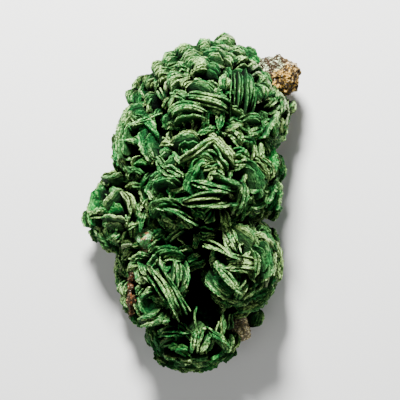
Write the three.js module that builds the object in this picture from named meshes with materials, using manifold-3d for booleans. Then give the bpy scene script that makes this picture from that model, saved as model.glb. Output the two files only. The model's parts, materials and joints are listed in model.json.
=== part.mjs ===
// Torbernite cluster, lying on the flat back of its matrix with the crystals facing up.
// Units are millimetres. +Z points up, out of the crystal face, and +Y runs from the tip to the crown.
// The origin is on the flat back, near its middle.
import * as THREE from "three";
import { mergeVertices } from "three/addons/utils/BufferGeometryUtils.js";
import Module from "manifold-3d";

const wasm = await Module();
wasm.setup();

// Driving dimensions
const CRYSTAL_FLOOR = 1.0; // the lowest that a crystal reaches above the resting face
const MATRIX_GAP = 0.45; // the clearance between the crystals and the rock they grew on
const PROUD_SHARE = 0.72; // the share of a book's height that stands out of the mass it grew from
const FLAT_PULL = 0.3; // how far a book's plane is turned towards the vertical where it lies along the growth
const SHORTEST_PLATE = 3; // the least height of a plate, from its foot to its rim
const TALLEST_PLATE = 7;
const LEAN_PER_MM = 40; // a book that leans this many degrees is a millimetre taller
const BASE_SPREAD = 0.35; // the spacing of plates at the base of a book, as a share of that at the rim
const PLATE_FILL = 0.8; // the thickness of a plate, as a share of its spacing
const CUT_CORNERS = 5.3; // plates longer than this have cut corners
const THICK_BOOK = 2.2; // a stack has one plate for about each of these in its thickness, and at most four

// Rounded masses of intergrown crystals: centre x, y, z, then radius x, y, z
const MOUNDS = {
  crown: [5, 18.5, 9, 13.5, 12.6, 14.5],
  waist: [2.5, 5, 9, 13.5, 12, 16],
  leftShoulder: [-8, 11, 8.5, 5.5, 8.5, 11],
  rightShoulder: [11.2, 6, 9, 5.6, 9.5, 12],
  leftLobe: [-12.6, -1.8, 8.5, 5.8, 6.6, 8],
  leftEdge: [-11.2, -13, 4.5, 2, 8, 4],
  rightRosette: [10.6, -11.6, 9, 6.6, 7.8, 12],
  leftSpray: [-5, -16, 8, 6, 8.5, 10],
  hollow: [2, -20, 6, 9, 10, 5],
  tip: [1.2, -26.5, 7.5, 7.6, 5.2, 7],
  saddle: [0, -8.5, 8, 9, 5.5, 9.5],
};

// Lumps of the rock: centre x, y, z, radius x, y, z, and how rough the lump is
const ROCKS = {
  upperBack: [2, 10, 2.5, 12.5, 15, 6, 0.9],
  lowerBack: [0.9, -13, 2.5, 12.6, 14.5, 5.5, 0.9],
  leftBack: [-8, -1.5, 2, 7.5, 9.5, 4.5, 0.6],
  shoulder: [10.5, 18, 4, 9, 10, 6, 0.6],
  knob: [17.6, 25.6, 9, 4.2, 4.2, 5, 0.7],
  leftStrip: [-11.7, -18.5, 5, 1.4, 5.6, 8.2, 0.3],
  lowerPatch: [10.8, -26, 6.2, 2.1, 2.6, 5, 0.4],
  valleyPatch: [-8.8, -7.4, 10, 1.9, 2.2, 5.8, 0.3],
};

// Books of plates, named by the part of the cluster they stand on. Each row gives the middle of a
// book's rim as x and y, the turn of the rim seen from above in degrees, its length, the thickness
// of the stack, and how far the plates lean sideways in degrees.
const BOOKS = {
  crown: [
    [7.8, 32.9, 5, 4.6, 2.8, -10],
    [4.0, 31.2, 15, 3.4, 2.4, 0],
    [0.6, 29.6, 14, 4.2, 2.4, 15],
    [5.4, 30.4, -6, 4.0, 2.2, 15],
    [-6.0, 25.6, 15, 4.0, 3.4, -10],
    [-3.2, 24.8, 35, 4.2, 3.0, 10],
    [2.4, 27.6, 10, 3.6, 3.0, 0],
    [11.0, 29.8, 10, 4.6, 3.4, 0],
    [11.6, 22.8, 88, 9.0, 6.0, 0],
    [14.4, 26.8, 20, 3.2, 3.0, 0],
    [18.0, 19.4, 28, 3.2, 3.0, 0],
    [20.4, 20.0, 18, 2.4, 3.2, 0],
    [19.2, 16.8, 82, 4.0, 1.8, 0],
  ],
  shoulder: [
    [4.2, 20.4, -16, 9.0, 2.6, 8],
    [3.2, 23.6, -28, 6.0, 2.0, 35],
    [-0.8, 17.4, 12, 7.4, 3.6, 12],
    [-7.2, 15.6, -64, 5.0, 2.2, 0],
    [-8.6, 17.0, 33, 6.4, 1.0, 0],
    [-12.4, 15.4, -22, 3.2, 1.8, 0],
    [-14.2, 16.4, 72, 5.4, 1.6, 0],
    [7.2, 10.8, -60, 7.0, 2.6, 0],
    [16.2, 14.4, 45, 5.4, 1.8, 0],
    [18.8, 14.2, -80, 3.8, 1.4, 0],
    [18.4, 8.4, -78, 5.4, 1.4, 50],
  ],
  waist: [
    [15.6, 6.8, -50, 5.0, 2.6, 0],
    [14.4, 5.4, -58, 7.0, 1.4, 30],
    [8.6, 4.8, -20, 6.4, 1.0, 20],
    [2.2, 10.6, 34, 8.4, 1.4, 0],
    [4.6, 2.8, -9, 8.6, 1.8, 0],
    [2.6, 1.0, 8, 8.0, 1.2, 20],
    [4.4, -1.0, 0, 9.6, 1.4, 0],
    [11.0, 0.4, 82, 5.6, 2.4, 0],
    [17.2, 1.4, 80, 5.0, 1.0, 0],
    [18.4, 1.2, -84, 6.4, 1.8, 0],
  ],
  waistLeft: [
    [-15.0, 12.0, 88, 6.4, 1.6, 0],
    [-9.4, 11.0, -80, 5.2, 2.0, -45],
    [-0.4, 13.4, 8, 6.0, 3.4, 15],
    [-5.2, 4.4, 12, 5.2, 1.4, 35],
    [-0.8, 5.0, 68, 5.8, 1.4, 45],
    [-14.0, 7.4, -22, 3.4, 2.2, 0],
    [-15.8, 5.8, -22, 5.0, 2.2, 0],
    [-7.2, -0.8, 38, 6.8, 1.6, 35],
    [-4.6, 0.2, 6, 5.0, 1.4, 35],
    [-2.4, -2.4, -17, 7.4, 1.0, 25],
  ],
  leftLobe: [
    [-20.2, 1.4, 62, 7.4, 1.6, 50],
    [-16.0, 1.2, 42, 5.4, 1.0, 25],
    [-12.2, 0.8, -72, 5.0, 1.8, 0],
    [-14.8, -0.4, 5, 2.6, 1.8, 45],
    [-20.2, -2.8, 8, 5.0, 1.4, 0],
    [-15.4, -3.0, 8, 4.4, 2.8, 10],
    [-17.4, -8.8, -55, 3.4, 1.4, -40],
    [-15.0, -7.6, 48, 3.2, 1.8, 0],
    [-12.4, -9.0, 20, 3.0, 2.2, 0],
  ],
  rightRosette: [
    [8.0, -6.0, -64, 6.8, 3.2, 0],
    [11.6, -5.6, -48, 6.0, 1.6, 28],
    [5.8, -9.0, -21, 9.8, 2.2, 0],
    [10.6, -12.4, 0, 6.4, 3.2, 0],
    [13.8, -13.2, -82, 7.0, 0.8, 0],
    [15.0, -10.6, -66, 6.0, 1.0, 20],
    [17.4, -11.4, -84, 8.4, 1.2, 28],
    [16.0, -7.8, -25, 4.2, 1.8, 0],
    [15.2, -14.2, 80, 3.2, 1.6, 30],
    [4.6, -17.6, -42, 6.4, 1.4, -50],
    [7.2, -15.0, -50, 7.4, 2.0, 0],
    [10.4, -18.2, 72, 5.2, 2.4, 0],
    [12.4, -18.6, 62, 4.6, 1.0, 0],
    [10.6, -20.8, -8, 5.6, 0.8, 0],
    [13.4, -22.2, 34, 5.8, 1.8, 0],
    [15.2, -19.6, 65, 4.6, 1.2, 0],
  ],
  leftSpray: [
    [-1.2, -14.0, 86, 6.4, 4.4, 0],
    [-2.8, -11.2, 10, 5.0, 1.0, 20],
    [-4.8, -18.0, -58, 12.0, 2.8, 0],
    [-2.4, -17.4, -60, 10.8, 1.0, 0],
    [-7.6, -24.0, 38, 6.4, 2.8, 0],
    [-3.8, -26.2, -3, 6.0, 1.0, 0],
    [-4.6, -9.4, 8, 5.2, 1.4, 35],
    [-16.4, -9.8, -45, 3.4, 2.2, 0],
    [-14.4, -14.0, 60, 3.0, 2.4, 0],
    [-14.0, -17.8, 80, 3.2, 1.8, 0],
    [-13.6, -20.8, -75, 3.2, 1.6, 0],
    [-11.8, -12.8, 10, 3.4, 2.0, 0],
  ],
  tip: [
    [1.6, -23.6, 90, 5.6, 0.8, 0],
    [1.6, -28.4, 80, 5.0, 1.8, 0],
    [6.8, -27.8, -42, 5.6, 2.2, 0],
    [-6.0, -31.8, -40, 3.2, 1.6, -15],
    [-3.6, -33.2, -10, 3.2, 1.4, -10],
    [-0.8, -33.6, -5, 3.0, 1.4, 0],
    [2.0, -33.4, 5, 3.0, 1.4, 0],
    [4.8, -33.4, 8, 3.4, 1.6, -15],
    [8.2, -31.8, 42, 3.4, 1.6, -10],
    [9.0, -29.2, 78, 3.4, 1.4, 0],
  ],
};

// Smaller books that fill the flanks and the gaps, spaced evenly over the mounds
const FILL = {
  spacing: 7.6, // the distance between neighbours on a mound
  clear: 3.6, // the distance kept from the rim of a named book
  lowest: 3.0, // the lowest that the middle of a rim lies
  length: 4.6,
  stack: 1.7,
  lean: 25, // the most that a book leans either way, in degrees
  steep: 0.35, // ground that faces up less than this is a flank, where books stand at their full height
  sunk: 0.55, // the share of the height that is used where the ground faces up more
};

const ROCK_GRAIN = 5.4; // how many bumps go round a lump of rock

const UP = new THREE.Vector3(0, 0, 1);
const GOLDEN_ANGLE = Math.PI * (3 - Math.sqrt(5));

// A repeatable number from 0 to 1 for each whole number
function chance(n) {
  const s = Math.sin(n * 12.9898 + 4.1414) * 43758.5453;
  return s - Math.floor(s);
}

// A smooth bump between -1 and 1 at a point, different for each phase
function ripple(p, phase) {
  const a = Math.sin(p.x + phase) * Math.sin(1.13 * p.y + 2.1 * phase);
  const b = Math.sin(2.3 * p.y + 1.9 * p.z + phase);
  return 0.6 * a + 0.4 * b * Math.sin(1.7 * p.x - 2.1 * p.z + 3.3 * phase);
}

// The point above x, y on the mounds grown by proud, and the direction in which crystals grow there
function growthAt(x, y, proud) {
  let best = null;
  let nearest = null;
  for (const [cx, cy, cz, rx, ry, rz] of Object.values(MOUNDS)) {
    const [a, b, c] = [rx + proud, ry + proud, rz + proud];
    const reach = ((x - cx) / a) ** 2 + ((y - cy) / b) ** 2;
    const z = cz + c * Math.sqrt(Math.max(0, 1 - reach));
    const found = {
      reach,
      point: new THREE.Vector3(x, y, z),
      growth: new THREE.Vector3((x - cx) / a ** 2, (y - cy) / b ** 2, (z - cz) / c ** 2).normalize(),
    };
    if (reach < 1 && (!best || z > best.point.z)) best = found;
    if (!nearest || reach < nearest.reach) nearest = found;
  }
  return best ?? nearest;
}

// True where a point is inside a mound other than the one named, when each is grown by proud
function insideAnother(point, own, proud) {
  return Object.entries(MOUNDS).some(([name, [cx, cy, cz, rx, ry, rz]]) => {
    const reach =
      ((point.x - cx) / (rx + proud)) ** 2 +
      ((point.y - cy) / (ry + proud)) ** 2 +
      ((point.z - cz) / (rz + proud)) ** 2;
    return name !== own && reach < 1;
  });
}

function heightOf(length, lean) {
  const upright = THREE.MathUtils.clamp(0.7 * length + 1.2, SHORTEST_PLATE, TALLEST_PLATE);
  return upright + Math.abs(lean) / LEAN_PER_MM;
}

// Everything needed to place a book: the middle of its rim, its axes and its sizes
function placeBook([x, y, turn, length, stack, lean], spot) {
  const height = heightOf(length, lean);
  const proud = PROUD_SHARE * height * Math.cos(THREE.MathUtils.degToRad(lean));
  const { point, growth } = spot ?? growthAt(x, y, proud);
  const angle = THREE.MathUtils.degToRad(turn);
  const trace = new THREE.Vector3(Math.cos(angle), Math.sin(angle), 0);
  const across = growth.clone().addScaledVector(UP, FLAT_PULL).cross(trace).normalize();
  const out = growth.clone().addScaledVector(across, -growth.dot(across)).normalize();
  const along = across.clone().cross(out).normalize();
  out.applyAxisAngle(along, -THREE.MathUtils.degToRad(lean));
  across.applyAxisAngle(along, -THREE.MathUtils.degToRad(lean));
  return { point, along, out, across, length, stack, height };
}

// Named books first, then the fill: points on a spiral round each mound that lie clear of the rest
function allBooks() {
  const named = Object.values(BOOKS).flat().map((row) => placeBook(row));
  const fill = [];
  Object.entries(MOUNDS).forEach(([name, [cx, cy, cz, rx, ry, rz]], m) => {
    const area = (4 * Math.PI * (rx * ry + rx * rz + ry * rz)) / 3;
    const count = Math.round(area / FILL.spacing ** 2);
    for (let i = 0; i < count; i++) {
      const w = 1 - (2 * (i + 0.5)) / count;
      const ring = Math.sqrt(1 - w * w);
      const d = new THREE.Vector3(ring * Math.cos(i * GOLDEN_ANGLE), ring * Math.sin(i * GOLDEN_ANGLE), w);
      const growth = new THREE.Vector3(d.x / rx, d.y / ry, d.z / rz).normalize();
      const sunk = growth.z < FILL.steep ? 1 : FILL.sunk;
      const proud = PROUD_SHARE * heightOf(FILL.length, 0) * sunk;
      const point = new THREE.Vector3(
        cx + d.x * (rx + proud),
        cy + d.y * (ry + proud),
        cz + d.z * (rz + proud),
      );
      const seed = 100 * m + i;
      if (point.z < FILL.lowest || insideAnother(point, name, 0.6 * proud)) continue;
      if ([...named, ...fill].some((b) => b.point.distanceTo(point) < FILL.clear)) continue;
      const length = FILL.length * (0.75 + 0.6 * chance(seed));
      const stack = FILL.stack * (0.7 + 0.7 * chance(seed + 0.3));
      const lean = FILL.lean * (2 * chance(seed + 0.6) - 1);
      const turn = 360 * chance(seed + 0.9);
      fill.push(placeBook([point.x, point.y, turn, length, stack, lean], { point, growth }));
    }
  });
  return [...named, ...fill];
}

// A closed three.js geometry as a solid that can be joined and cut
function solidOf(geometry) {
  const bare = geometry.index ? geometry.toNonIndexed() : geometry.clone();
  bare.deleteAttribute("normal");
  bare.deleteAttribute("uv");
  const merged = mergeVertices(bare, 1e-4);
  return new wasm.Manifold(
    new wasm.Mesh({
      numProp: 3,
      vertProperties: merged.attributes.position.array,
      triVerts: new Uint32Array(merged.index.array),
    }),
  );
}

function geometryOf(solid) {
  const { vertProperties, triVerts } = solid.getMesh();
  const geometry = new THREE.BufferGeometry();
  geometry.setAttribute("position", new THREE.BufferAttribute(new Float32Array(vertProperties), 3));
  geometry.setIndex(new THREE.BufferAttribute(new Uint32Array(triVerts), 1));
  return geometry;
}

// A slab that holds everything above a level
function above(level) {
  const size = 200; // larger than the cluster
  return solidOf(new THREE.BoxGeometry(size, size, size).translate(0, 0, level + size / 2));
}

// One tabular plate with cut corners, standing in the plane of along and out
function plateSolid(book, share, thickness) {
  const { length, height } = book;
  const outline = new THREE.Shape();
  outline.moveTo(-0.26 * length, 0);
  outline.lineTo(0.26 * length, 0);
  if (length > CUT_CORNERS) {
    outline.lineTo(0.5 * length, 0.66 * height);
    outline.lineTo(0.3 * length, height);
    outline.lineTo(-0.3 * length, height);
    outline.lineTo(-0.5 * length, 0.66 * height);
  } else {
    outline.lineTo(0.5 * length, height);
    outline.lineTo(-0.5 * length, height);
  }
  const plate = new THREE.ExtrudeGeometry(outline, { depth: thickness, bevelEnabled: false });
  plate.translate(0, 0, -thickness / 2);
  const foot = share * BASE_SPREAD * book.stack;
  const splay = share * book.stack - foot;
  const out = book.out.clone().multiplyScalar(height).addScaledVector(book.across, splay).normalize();
  const across = book.along.clone().cross(out);
  const start = book.point.clone().addScaledVector(book.out, -height).addScaledVector(book.across, foot);
  const frame = new THREE.Matrix4().makeBasis(book.along, out, across).setPosition(start);
  return solidOf(plate.applyMatrix4(frame));
}

// A book is one plate, or a fan of a few where the stack is thick
function bookSolids(book) {
  const plates = Math.max(1, Math.min(4, Math.round(book.stack / THICK_BOOK)));
  const thickness = PLATE_FILL * (book.stack / plates);
  return Array.from({ length: plates }, (_, k) => plateSolid(book, (k + 0.5) / plates - 0.5, thickness));
}

function moundSolid([cx, cy, cz, rx, ry, rz]) {
  return solidOf(new THREE.IcosahedronGeometry(1, 1).scale(rx, ry, rz).translate(cx, cy, cz));
}

// A rough lump of rock, grown by a margin where the crystals are to be cut back from it
function rockSolid([cx, cy, cz, rx, ry, rz, rough], margin, index) {
  const lump = new THREE.IcosahedronGeometry(1, 2);
  const place = lump.getAttribute("position");
  const p = new THREE.Vector3();
  for (let i = 0; i < place.count; i++) {
    p.fromBufferAttribute(place, i);
    const bump = rough * ripple(p.clone().multiplyScalar(ROCK_GRAIN), index + 1);
    const inset = 1 + bump / Math.min(rx, ry, rz);
    place.setXYZ(
      i,
      cx + p.x * (rx * inset + margin),
      cy + p.y * (ry * inset + margin),
      cz + p.z * (rz * inset + margin),
    );
  }
  return solidOf(lump);
}

// The largest body of a solid, without plates that the cuts leave loose
function mainBody(solid) {
  return solid.decompose().reduce((a, b) => (b.volume() > a.volume() ? b : a));
}

function rockMass(margin) {
  return wasm.Manifold.union(Object.values(ROCKS).map((row, i) => rockSolid(row, margin, i)));
}

const books = allBooks();
const crystalMass = wasm.Manifold.union([
  ...Object.values(MOUNDS).map(moundSolid),
  ...books.flatMap(bookSolids),
])
  .subtract(rockMass(MATRIX_GAP))
  .intersect(above(CRYSTAL_FLOOR));
const matrixMass = rockMass(0).intersect(above(0));

const MATERIALS = {
  torbernite: new THREE.MeshStandardMaterial({ color: 0x2f6b3c, roughness: 0.45, metalness: 0 }),
  rock: new THREE.MeshStandardMaterial({ color: 0x8c7458, roughness: 0.95, metalness: 0 }),
};

const cluster = new THREE.Group();
cluster.name = "torbernite_cluster";

function addMesh(name, solid, material) {
  const mesh = new THREE.Mesh(geometryOf(solid), material);
  mesh.name = name;
  cluster.add(mesh);
}

addMesh("matrix", mainBody(matrixMass), MATERIALS.rock);
addMesh("torbernite_crystals", mainBody(crystalMass), MATERIALS.torbernite);

export default cluster;
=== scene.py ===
"""Torbernite cluster: books and rosettes of thin green plates grown over a ridge of brown rock."""

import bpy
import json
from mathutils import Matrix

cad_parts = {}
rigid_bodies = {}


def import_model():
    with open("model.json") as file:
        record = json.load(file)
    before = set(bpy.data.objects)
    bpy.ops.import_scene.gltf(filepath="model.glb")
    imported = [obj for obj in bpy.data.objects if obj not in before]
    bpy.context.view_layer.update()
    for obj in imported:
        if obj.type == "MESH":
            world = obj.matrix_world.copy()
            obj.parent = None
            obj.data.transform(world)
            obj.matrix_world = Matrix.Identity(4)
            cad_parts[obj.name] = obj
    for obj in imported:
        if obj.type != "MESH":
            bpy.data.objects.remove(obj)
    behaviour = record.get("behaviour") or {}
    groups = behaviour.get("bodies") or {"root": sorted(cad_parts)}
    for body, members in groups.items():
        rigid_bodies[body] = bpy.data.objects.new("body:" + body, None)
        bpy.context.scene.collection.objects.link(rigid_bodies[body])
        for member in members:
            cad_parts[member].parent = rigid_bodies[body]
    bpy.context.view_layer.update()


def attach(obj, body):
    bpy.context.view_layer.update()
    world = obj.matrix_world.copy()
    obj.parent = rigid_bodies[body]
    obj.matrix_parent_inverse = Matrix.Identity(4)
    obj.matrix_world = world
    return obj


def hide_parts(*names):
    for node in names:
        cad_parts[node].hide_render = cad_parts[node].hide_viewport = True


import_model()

import functools
import json
import math

import bpy
import numpy as np
from mathutils import Vector

bl_info = {
    "name": "Torbernite Cluster",
    "version": (1, 0, 0),
    "blender": (4, 5, 0),
    "location": "View3D > Sidebar > Cluster",
    "description": "Builds a torbernite cluster with its rock, a floor, lights and a camera",
    "category": "Add Mesh",
}

MM = 0.001
UP = np.array([0.0, 0.0, 1.0])
GOLDEN_ANGLE = math.pi * (3 - math.sqrt(5))

# Growth of the books, as in the frame: millimetres, degrees and shares
PROUD_SHARE = 0.72  # the share of a plate's height that stands clear of the mounds
FLAT_PULL = 0.3  # how far the growth of a book's plates is pulled upright
BASE_SPREAD = 0.35  # the thickness of a stack at its base, as a share of that at its rim
SHORTEST_PLATE = 3.0
TALLEST_PLATE = 7.0
HEIGHT_PER_LENGTH = 0.7
HEIGHT_MORE = 1.2
LEAN_PER_MM = 40.0  # the lean that makes a plate 1 mm taller
CRYSTAL_FLOOR = 1.0
CUT_SLACK = 0.000001

# Rounded masses of intergrown crystals: centre x, y, z, then radius x, y, z
MOUNDS = {
    "crown": (5, 18.5, 9, 13.5, 12.6, 14.5),
    "waist": (2.5, 5, 9, 13.5, 12, 16),
    "left_shoulder": (-8, 11, 8.5, 5.5, 8.5, 11),
    "right_shoulder": (11.2, 6, 9, 5.6, 9.5, 12),
    "left_lobe": (-12.6, -1.8, 8.5, 5.8, 6.6, 8),
    "left_edge": (-11.2, -13, 4.5, 2, 8, 4),
    "right_rosette": (10.6, -11.6, 9, 6.6, 7.8, 12),
    "left_spray": (-5, -16, 8, 6, 8.5, 10),
    "hollow": (2, -20, 6, 9, 10, 5),
    "tip": (1.2, -26.5, 7.5, 7.6, 5.2, 7),
    "saddle": (0, -8.5, 8, 9, 5.5, 9.5),
}

# Lumps of the rock: centre x, y, z, then radius x, y, z
ROCKS = {
    "upper_back": (2, 10, 2.5, 12.5, 15, 6),
    "lower_back": (0.9, -13, 2.5, 12.6, 14.5, 5.5),
    "left_back": (-8, -1.5, 2, 7.5, 9.5, 4.5),
    "shoulder": (10.5, 18, 4, 9, 10, 6),
    "knob": (18.1, 25.6, 9, 4.4, 4.2, 5),
    "left_strip": (-11.7, -18.5, 5, 0.65, 5.6, 8.6),
    "lower_patch": (10.8, -26, 6.2, 2.1, 2.6, 5),
    "valley_patch": (-8.8, -7.4, 10, 1.9, 2.2, 5.8),
}

# Patches of the rock's colour: centre x, y, z, then radius
PATCHES = {
    "ochre_stain": (20.6, 23.8, 12.5, 4.8),
    "pale": (10.8, -26, 9, 5.0),
    "knob_crust": (16.8, 29.6, 12.5, 3.4),
    "mint_crust": (-8.8, -7.4, 15, 5.0),
    "rust": (-11.7, -18.5, 10, 7.0),
}

# Colours of the rock's grains, at the middle of a grain and at its border
RUST_GRAINS = ((0.70, 0.48, 0.20), (0.12, 0.045, 0.014))
KNOB_GRAINS = ((1.0, 1.0, 0.80), (0.62, 0.74, 0.42))
PALE_GRAINS = ((1.0, 1.0, 0.85), (0.85, 0.72, 0.38))
MINT_GRAINS = ((0.95, 1.0, 0.70), (0.20, 0.62, 0.20))
ORANGE_SPOTS = (0.50, 0.26, 0.10)
# Painted sparkles: cream specks that stand for highlights on the rock's small crystal faces.
PAINTED_SPARKLES = (0.95, 0.88, 0.66)
# Painted glints: small highlights painted into the colour of the clean faces.
GLINTS = (0.24, 0.80, 0.18)

# Dark gaps, and the bare strip of rock, that no fill grows in: centre x, y, then radius x, y
HOLLOWS = {
    "low_front": (2.6, -20.2, 4.6, 5.6),
    "left_shoulder": (-11.4, 11.6, 1.8, 3.2),
    "left_lobe": (-18.8, -4.4, 1.6, 0.8),
    "under_waist": (7.4, -3.2, 3.2, 1.0),
    "centre_left": (-7.8, 7.6, 1.6, 1.2),
    "bare_strip": (-11.7, -18.6, 0.9, 5.2),
    "shoulder_left": (-5.6, 14.6, 1.4, 1.3),
    "shoulder_middle": (2.2, 18.8, 1.8, 0.9),
    "shoulder_right": (14.6, 19.6, 1.3, 1.5),
    "waist_right": (11.4, 2.7, 1.5, 1.1),
    "lobe_top": (-10.8, 0.0, 1.2, 1.3),
    "crown_middle": (6.0, 24.9, 0.9, 1.6),
}

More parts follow.
